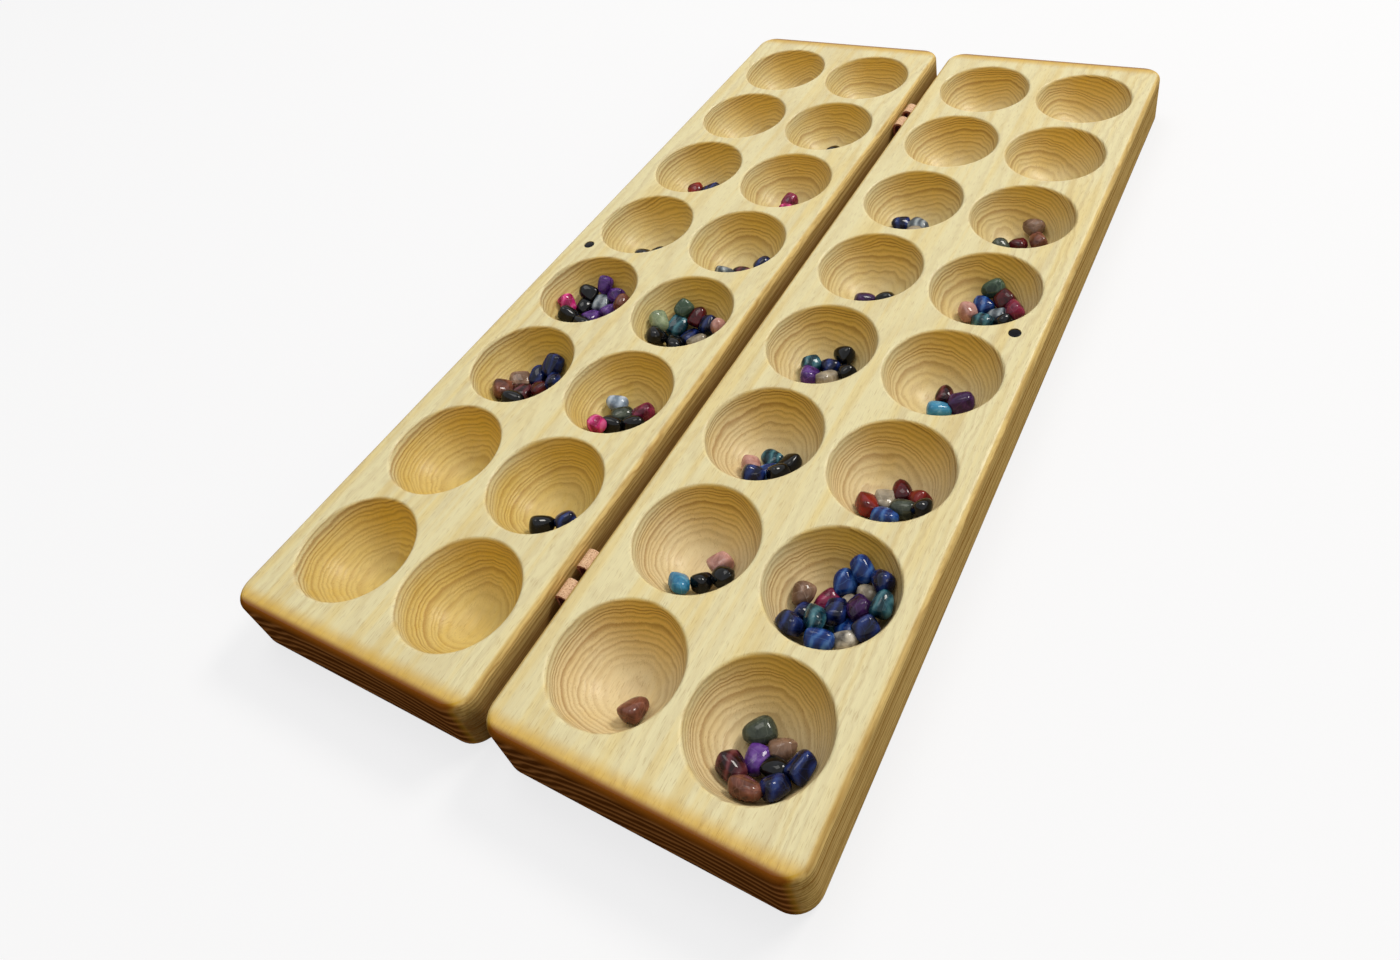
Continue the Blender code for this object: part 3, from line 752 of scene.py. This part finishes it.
def makeBandShape():
    # half a tube over the gap, with its two lower edges drawn down as legs, then given a thickness
    middle = halfGap - band["clearance"] - band["thickness"] / 2
    springZ = topZ - band["crownDrop"] - band["thickness"] / 2 - band["archRise"]
    footZ = topZ - band["leg"]
    deselectAll()
    bpy.ops.mesh.primitive_cylinder_add(vertices=band["arcSteps"], radius=middle, depth=band["width"],
                                        end_fill_type="NOTHING", location=(0, 0, springZ),
                                        rotation=(math.pi / 2, 0, 0))
    obj = bpy.context.object
    obj.name = "bandShape"
    applyPlace(obj)
    bpy.ops.object.mode_set(mode="EDIT")
    bpy.ops.mesh.select_all(action="SELECT")
    bpy.ops.mesh.bisect(plane_co=(0, 0, springZ), plane_no=(0, 0, 1), clear_inner=True)
    bpy.ops.mesh.select_all(action="SELECT")
    bpy.ops.transform.resize(value=(1, 1, band["archRise"] / middle), center_override=(0, 0, springZ))
    steps = band["legSteps"]
    for step in range(steps):
        level = springZ + (footZ - springZ) * step / steps
        selectEdges(obj, lambda a, b: abs(a.z - level) < 0.00002 and abs(b.z - level) < 0.00002)
        bpy.ops.mesh.extrude_edges_move(TRANSFORM_OT_translate={"value": (0, 0, (footZ - springZ) / steps)})
    # rows of faces across the width
    for cut in band["cuts"]:
        bpy.ops.mesh.select_all(action="SELECT")
        bpy.ops.mesh.bisect(plane_co=(0, cut * band["width"], 0), plane_no=(0, 1, 0))
    bpy.ops.mesh.select_all(action="SELECT")
    bpy.ops.mesh.remove_doubles(threshold=0.00001)
    bpy.ops.mesh.normals_make_consistent(inside=False)
    bpy.ops.object.mode_set(mode="OBJECT")
    thick = obj.modifiers.new("leather", "SOLIDIFY")
    thick.thickness = band["thickness"]
    thick.offset = 0.0
    thick.use_even_offset = True
    thick.material_offset = 1
    thick.material_offset_rim = 2
    return obj


def makeBands():
    shape = makeBandShape()
    for side, (colours, scale, roughness) in band["sides"].items():
        leather = makeLeather("vegetable-tanned leather, " + side, colours, scale, roughness)
        shape.data.materials.append(leather)
    for name in sorted(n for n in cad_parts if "hinge_band" in n and not n.endswith("tack")):
        low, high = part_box(name)
        piece = copyPiece(shape, name.replace("_hinge_band_", "Leather"))
        piece.location = (0, (low.y + high.y) / 2 - band["creep"], 0)
        applyPlace(piece)
        applyModifiers(piece)
        worn = piece.modifiers.new("worn edges", "BEVEL")
        worn.width = band["wornEdge"]
        worn.segments = 2
        worn.limit_method = "ANGLE"
        worn.angle_limit = math.radians(band["wornAngle"])
        applyModifiers(piece)
        smoothByAngle(piece, band["faceAngle"])
        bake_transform(piece)
        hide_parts(name)
    dropPiece(shape)


tack = {
    "tarnish": "#8A6A34",
    "colour": "#D9B871",
    "tones": (0.35, 0.6),  # where the tarnish ends and the bare brass starts
    "tarnishScale": 700.0,
    "roughness": 0.28,
}


def makeBrass():
    # Solid brass upholstery tack, domed by stamping and left to tarnish.
    material, tree, shader = newMaterial("stamped brass", Metallic=1.0, Roughness=tack["roughness"])
    place = addNode(tree, "TexCoord")
    cloud = addNode(tree, "TexNoise", {"Vector": place.outputs["Object"]},
                    Scale=tack["tarnishScale"], Detail=3.0)
    tone = setRamp(addNode(tree, "ValToRGB", (cloud,)),
                   zip(tack["tones"], (tack["tarnish"], tack["colour"])))
    tree.links.new(tone.outputs[0], shader.inputs["Base Color"])
    return material


def finishTacks():
    brass = makeBrass()
    for name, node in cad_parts.items():
        if name.endswith("_tack"):
            for slotIndex in range(len(node.material_slots)):
                node.material_slots[slotIndex].material = brass


makeBands()
finishTacks()
print("hinges ready")


# the playing stones
stone = {
    "length": 0.0126,
    "width": 0.0103,
    "height": 0.0090,
    "variation": 0.12,
    "step": 0.0115,  # what the places below count in, along the bowl
    "layer": 0.0084,  # what a lift of 1 raises a stone by
    "wallGap": 0.0002,
    "sunk": 0.0078,  # a stone's middle under the playing face, so that the board can fold over the stones
    "settleSteps": 60,
    "press": 0.0002,  # towards the wood in each step
    "touch": 0.97,  # share of two stones' reach that keeps them apart
    "endReach": 0.55,  # share of a long stone's overhang that keeps it off the curved wood
    "seed": 7,
    "roughness": 0.06,
    "ior": 1.54,
    "specular": 0.25,
    "cloudScale": 170.0,
    "bandScale": 60.0,
    "bandTwist": 5.0,
    "tones": (0.34, 0.62, 0.98),  # where the three colours sit in the clouds or bands
    "veinScale": 150.0,
    "veins": [(0.0, 0.22), (0.03, 0.0)],  # strength by distance from a vein
    "lightReach": 0.003,  # how far light goes in
}

# each kind of stone: how its pattern runs, how far light goes in, and its colours from deep to pale
stoneKinds = {
    "onyx": ("bands", 0.0, "#040506", "#07090D", "#161A24"),
    "navyAgate": ("bands", 0.1, "#070C26", "#101B4C", "#2B4488"),
    "blueAgate": ("bands", 0.15, "#0C2560", "#173F86", "#5A88C0"),
    "tealAgate": ("bands", 0.2, "#0E2C36", "#20505E", "#64929A"),
    "skyAgate": ("mottled", 0.1, "#1E6088", "#3884AA", "#94C4D4"),
    "laceAgate": ("bands", 0.2, "#6E7E90", "#9AAABC", "#D2DAE2"),
    "prasiolite": ("mottled", 0.3, "#5C6A50", "#8C9A7A", "#C6CEB4"),
    "greyAgate": ("bands", 0.2, "#4A525A", "#77828A", "#B5BABB"),
    "moss": ("mottled", 0.2, "#232A22", "#454C40", "#7C8272"),
    "aventurine": ("mottled", 0.2, "#26382A", "#455A48", "#80937E"),
    "amethyst": ("mottled", 0.3, "#301350", "#5C3486", "#9A7CB8"),
    "darkAmethyst": ("mottled", 0.1, "#1E0B2C", "#3D1A50", "#6B4580"),
    "pinkAgate": ("bands", 0.25, "#8A1048", "#C42478", "#E88CB8"),
    "plumAgate": ("mottled", 0.25, "#521028", "#8E2A4E", "#C07A92"),
    "roseQuartz": ("mottled", 0.4, "#8E6258", "#B98A80", "#DDBBAE"),
    "quartz": ("mottled", 0.4, "#7A7060", "#A59A86", "#DCD5C6"),
    "garnet": ("mottled", 0.15, "#2C080C", "#561018", "#842A30"),
    "maroonAgate": ("bands", 0.1, "#220C10", "#481B22", "#7E4448"),
    "jasper": ("mottled", 0.0, "#4E1010", "#821F1C", "#A64A38"),
    "brownJasper": ("mottled", 0.05, "#4A2A20", "#7E4C3C", "#AD7C66"),
    "smokyQuartz": ("mottled", 0.35, "#5A4234", "#8A6C58", "#BCA48E"),
    "howlite": ("mottled", 0.05, "#55504A", "#C9C2B4", "#F2EFE6"),
}

# stones in each pit: kind, right and along, in steps along the bowl from its middle. One that lies on others
# also has a lift, in layers
stonesInPits = {
    "b2": [("onyx", 0.4, -0.4)],
    "a3": [("jasper", -0.5, -0.1), ("navyAgate", 0.5, 0.1)],
    "b3": [("plumAgate", -0.1, 0.15), ("pinkAgate", 0.25, -0.75)],
    "c3": [("navyAgate", -0.75, -0.2), ("greyAgate", 0.3, -0.1), ("quartz", 0.45, -1.1)],
    "d3": [("smokyQuartz", 0.3, 1.1), ("garnet", -0.05, -0.3), ("brownJasper", 0.8, 0.2),
           ("moss", -0.75, -1.0)],
    "a4": [("onyx", 0.35, -1.6), ("onyx", 1.05, -0.85)],
    "b4": [("greyAgate", -0.3, -1.4), ("maroonAgate", 0.55, -0.8), ("navyAgate", 1.5, -0.1)],
    "c4": [("darkAmethyst", 0.05, -1.1), ("onyx", 1.2, -0.95)],
    "d5": [("maroonAgate", 0.0, 0.25), ("darkAmethyst", 1.0, -0.3), ("skyAgate", 0.2, -0.93)],
    "b7": [("onyx", 0.3, -1.25), ("navyAgate", 1.1, -0.65)],
    "c7": [("skyAgate", -0.1, -1.8), ("roseQuartz", 0.8, 0.1), ("onyx", 0.6, -1.0), ("onyx", 1.5, -0.6)],
    "c8": [("brownJasper", 0.95, -0.8)],
    "d4": [("aventurine", -0.05, 1.35), ("blueAgate", -0.15, 0.55), ("roseQuartz", -0.55, -0.25),
           ("garnet", 0.75, 0.85), ("plumAgate", 1.35, 0.25), ("greyAgate", 0.55, 0.05),
           ("tealAgate", 0.05, -0.65), ("onyx", 0.95, -0.45)],
    "a5": [("pinkAgate", -1.5, -0.5), ("onyx", -0.9, 0.0), ("onyx", -0.9, -1.1), ("onyx", -0.3, -1.1),
           ("amethyst", 0.6, 0.4), ("onyx", -1.0, 0.8), ("amethyst", 0.6, 1.1), ("brownJasper", 1.3, 0.8),
           ("greyAgate", -0.3, 0.7, 0.5), ("amethyst", -0.1, -0.1, 0.5), ("amethyst", -0.1, 1.3)],
    "b5": [("prasiolite", -1.4, -0.15), ("aventurine", -0.7, 0.95), ("tealAgate", -0.7, 0.15),
           ("garnet", 0.1, 0.75), ("navyAgate", 0.8, 0.75), ("onyx", -1.1, -0.95), ("onyx", -0.4, -0.55),
           ("quartz", 0.4, -0.35), ("roseQuartz", 1.5, 0.55), ("navyAgate", 0.0, 0.15, 0.5)],
    "c5": [("onyx", 0.5, 0.8), ("tealAgate", -0.5, -0.1), ("navyAgate", 0.2, 0.1), ("amethyst", -0.3, -0.9),
           ("quartz", 0.4, -0.6), ("onyx", 1.0, -0.1)],
    "a6": [("navyAgate", -0.1, 0.7), ("smokyQuartz", -0.6, 0.1), ("navyAgate", 1.1, 0.6),
           ("navyAgate", 0.5, 1.1), ("maroonAgate", -0.3, -0.5), ("brownJasper", -0.7, -1.1),
           ("garnet", 0.4, -0.2), ("onyx", -0.2, -1.4)],
    "b6": [("laceAgate", -0.7, 0.25), ("moss", -0.1, -0.25), ("plumAgate", 0.6, 0.05),
           ("pinkAgate", -0.5, -1.65), ("onyx", -0.2, -0.95), ("onyx", 0.7, -0.55)],
    "c6": [("roseQuartz", -0.25, -1.05), ("tealAgate", 0.15, -0.15), ("onyx", 1.15, -0.35),
           ("navyAgate", 0.15, -1.65), ("blueAgate", 0.45, -0.85), ("onyx", 1.15, -1.05)],
    "d6": [("jasper", -0.6, -1.15), ("garnet", 0.3, 0.05), ("jasper", 1.0, -0.15), ("quartz", 0.0, -0.65),
           ("blueAgate", 0.3, -1.25), ("moss", 0.9, -0.95), ("onyx", 1.6, -0.85)],
    "d7": [("smokyQuartz", -0.75, -0.55), ("plumAgate", -0.25, 0.15), ("blueAgate", 0.35, 0.75),
           ("blueAgate", 1.05, 1.15), ("navyAgate", 1.75, 0.95), ("tealAgate", 2.15, 0.25),
           ("quartz", 1.05, 0.45), ("tealAgate", 0.45, -0.55), ("navyAgate", -0.35, -1.25),
           ("blueAgate", 0.25, -1.95), ("howlite", 0.95, -1.65), ("blueAgate", 1.55, -1.15),
           ("darkAmethyst", 1.05, -0.25, 0.5), ("quartz", 0.35, 0.05, 0.5), ("navyAgate", 2.15, -0.55),
           ("tealAgate", 0.35, -1.25, 0.5), ("navyAgate", -0.35, -1.95), ("navyAgate", 0.95, -0.95, 0.5)],
    "d8": [("moss", -0.2, 0.2), ("smokyQuartz", 0.5, 0.1), ("maroonAgate", -0.3, -1.2),
           ("amethyst", 0.1, -0.7), ("navyAgate", 1.5, -0.6), ("navyAgate", 1.1, -1.3),
           ("brownJasper", 0.5, -1.8), ("onyx", 0.8, -0.6)],
}

# rough stones before tumbling: width and height against length, narrowing of one end, unevenness, and the
# rounding of the edges
stoneShapes = [
    (0.95, 0.95, 0.88, 0.08, 0.30),
    (0.92, 0.90, 0.68, 0.09, 0.28),
    (1.0, 1.0, 0.80, 0.15, 0.27),
    (0.96, 0.92, 0.58, 0.08, 0.32),
    (1.0, 0.96, 0.94, 0.09, 0.26),
    (0.90, 1.0, 0.72, 0.13, 0.30),
    (0.98, 0.94, 0.84, 0.15, 0.33),
]


def makeStoneMaterial(name, pattern, glow, *colours):
    # Tumbled and polished quartz-family stone: a wet-looking gloss over bands or clouds a few millimetres
    # across, with pale veins, and light going in where the stone is clear.
    material, tree, shader = newMaterial(name, Roughness=stone["roughness"], IOR=stone["ior"],
                                         Specular_IOR_Level=stone["specular"], Subsurface_Weight=glow,
                                         Subsurface_Radius=(stone["lightReach"],) * 3,
                                         Subsurface_Scale=1.0)
    place = addNode(tree, "TexCoord")
    clouds = addNode(tree, "TexNoise", {"Vector": place.outputs["Object"]},
                     Scale=stone["cloudScale"], Detail=3.0, Roughness=0.55, Distortion=0.6)
    if pattern == "bands":
        waves = addNode(tree, "TexWave", {"Vector": place.outputs["Object"]},
                        Scale=stone["bandScale"], Distortion=stone["bandTwist"], Detail=2.0,
                        Detail_Scale=1.4)
        source = addNode(tree, "Mix", {2: clouds, 3: waves.outputs["Fac"]})
    else:
        source = clouds
    tone = setRamp(addNode(tree, "ValToRGB", (source,)),
                   zip(stone["tones"], colours))
    veins = addNode(tree, "TexVoronoi", {"Vector": place.outputs["Object"]},
                    Scale=stone["veinScale"], feature="DISTANCE_TO_EDGE")
    veinMask = setRamp(addNode(tree, "ValToRGB", (veins,)),
                       stone["veins"])
    colour = addNode(tree, "Mix", {0: veinMask, 6: tone, 7: colours[-1]},
                     data_type="RGBA")
    tree.links.new(colour.outputs[2], shader.inputs["Base Color"])
    return material


def makeRoughStone(index, width, height, taper, uneven, rounding):
    # a cube narrowed, jogged and rounded, as the tumbling drum leaves it, one unit along each side
    deselectAll()
    bpy.ops.mesh.primitive_cube_add(size=1, location=(0, 0, 0), scale=(1, width, height))
    obj = bpy.context.object
    obj.name = f"roughStone{index}"
    applyPlace(obj)
    bpy.ops.object.mode_set(mode="EDIT")
    bpy.ops.mesh.select_mode(type="FACE")
    bpy.ops.mesh.select_all(action="DESELECT")
    bpy.ops.object.mode_set(mode="OBJECT")
    for face in obj.data.polygons:
        face.select = face.normal.x > 0.9
    bpy.ops.object.mode_set(mode="EDIT")
    bpy.ops.transform.resize(value=(1, taper, taper))
    bpy.ops.mesh.select_all(action="SELECT")
    bpy.ops.transform.vertex_random(offset=uneven, uniform=0.4, normal=0.0, seed=index + 3)
    bpy.ops.mesh.bevel(offset=rounding, segments=2, profile=0.5, affect="EDGES")
    bpy.ops.object.mode_set(mode="OBJECT")
    smooth = obj.modifiers.new("tumbling", "SUBSURF")
    smooth.levels = 1
    smooth.render_levels = 1
    applyModifiers(obj)
    size = obj.dimensions
    obj.scale = (1 / size.x, 1 / size.y, 1 / size.z)
    applyPlace(obj)
    bpy.ops.object.origin_set(type="ORIGIN_GEOMETRY", center="BOUNDS")
    obj.location = (0, 0, 0)
    applyPlace(obj)
    bpy.ops.object.shade_smooth()
    return obj


def stoneFrame(place, spin):
    # a stone lies flat on the bowl: its own Z points to the bowl's centre
    inward = -place.normalized()
    return inward.to_track_quat("Z", "X").to_matrix() @ Matrix.Rotation(spin, 3, "Z")


def reach(turn, sizes, direction):
    # from the stone's middle to its skin in a direction
    local = turn.transposed() @ direction
    return 1 / math.sqrt(sum((2 * local[i] / sizes[i]) ** 2 for i in range(3)))


def settle(stones, bowlRadius, centreHeight):
    # presses the stones of one pit onto the wood and pushes apart those that run into each other
    for step in range(stone["settleSteps"]):
        for item in stones:
            item["place"] += item["place"].normalized() * stone["press"]
            item["turn"] = stoneFrame(item["place"], item["spin"])
        for first in range(len(stones)):
            for second in range(first + 1, len(stones)):
                one, two = stones[first], stones[second]
                apart = two["place"] - one["place"]
                direction = apart.normalized()
                need = sum(reach(item["turn"], item["sizes"], direction) for item in (one, two))
                over = need * stone["touch"] - apart.length
                if over > 0:
                    one["place"] -= direction * over / 2
                    two["place"] += direction * over / 2
        for item in stones:
            item["place"].z = min(item["place"].z, -centreHeight - stone["sunk"])
            limit = bowlRadius - stone["wallGap"] - item["sizes"][2] / 2
            # the ends of a long stone touch the curved wood first
            limit -= (item["sizes"][0] / 2) ** 2 / (2 * bowlRadius) * stone["endReach"]
            if item["place"].length > limit:
                item["place"] *= limit / item["place"].length


def makeStones():
    materials = {name: makeStoneMaterial("tumbled " + name, *kind) for name, kind in stoneKinds.items()}
    shapes = [makeRoughStone(index, *shape) for index, shape in enumerate(stoneShapes)]
    bowlRadius, centreHeight = bowlSphere()
    count = 0
    for pit, listed in stonesInPits.items():
        rng = random.Random(f"{stone['seed']} {pit}")
        centre = pitCentre(pit) + Vector((0, 0, centreHeight))
        stones = []
        for kind, right, along, *lift in listed:
            sizes = Vector((stone["length"], stone["width"], stone["height"]))
            sizes = Vector([s * (1 + rng.uniform(-stone["variation"], stone["variation"])) for s in sizes])
            slope = math.hypot(right, along) * stone["step"] / (bowlRadius - stone["layer"] / 2)
            bearing = math.atan2(along, right)
            level = math.sin(slope)
            place = Vector((level * math.cos(bearing), level * math.sin(bearing), -math.cos(slope)))
            out = bowlRadius - sizes.z / 2 - (lift[0] if lift else 0) * stone["layer"]
            stones.append({"kind": kind, "sizes": sizes, "place": place * out,
                           "spin": rng.uniform(0, math.pi), "shape": rng.randrange(len(shapes)),
                           "flip": rng.random() < 0.5})
        settle(stones, bowlRadius, centreHeight)
        for number, item in enumerate(stones, 1):
            piece = copyPiece(shapes[item["shape"]], f"gem_{pit}_{number}")
            turn = item["turn"].to_4x4()
            if item["flip"]:
                turn = turn @ Matrix.Rotation(math.pi, 4, "X")
            scale = Matrix.Diagonal((*item["sizes"], 1.0))
            piece.matrix_world = Matrix.Translation(centre + item["place"]) @ turn @ scale
            applyPlace(piece)
            piece.data.materials.append(materials[item["kind"]])
            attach(piece, "left_board" if pit[0] in "ab" else "right_board")
            heap = "heap_" + pit
            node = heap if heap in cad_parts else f"stone_{pit}_{number}"
            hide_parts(node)
            count += 1
    for shape in shapes:
        dropPiece(shape)
    print("stones ready:", count)


makeStones()
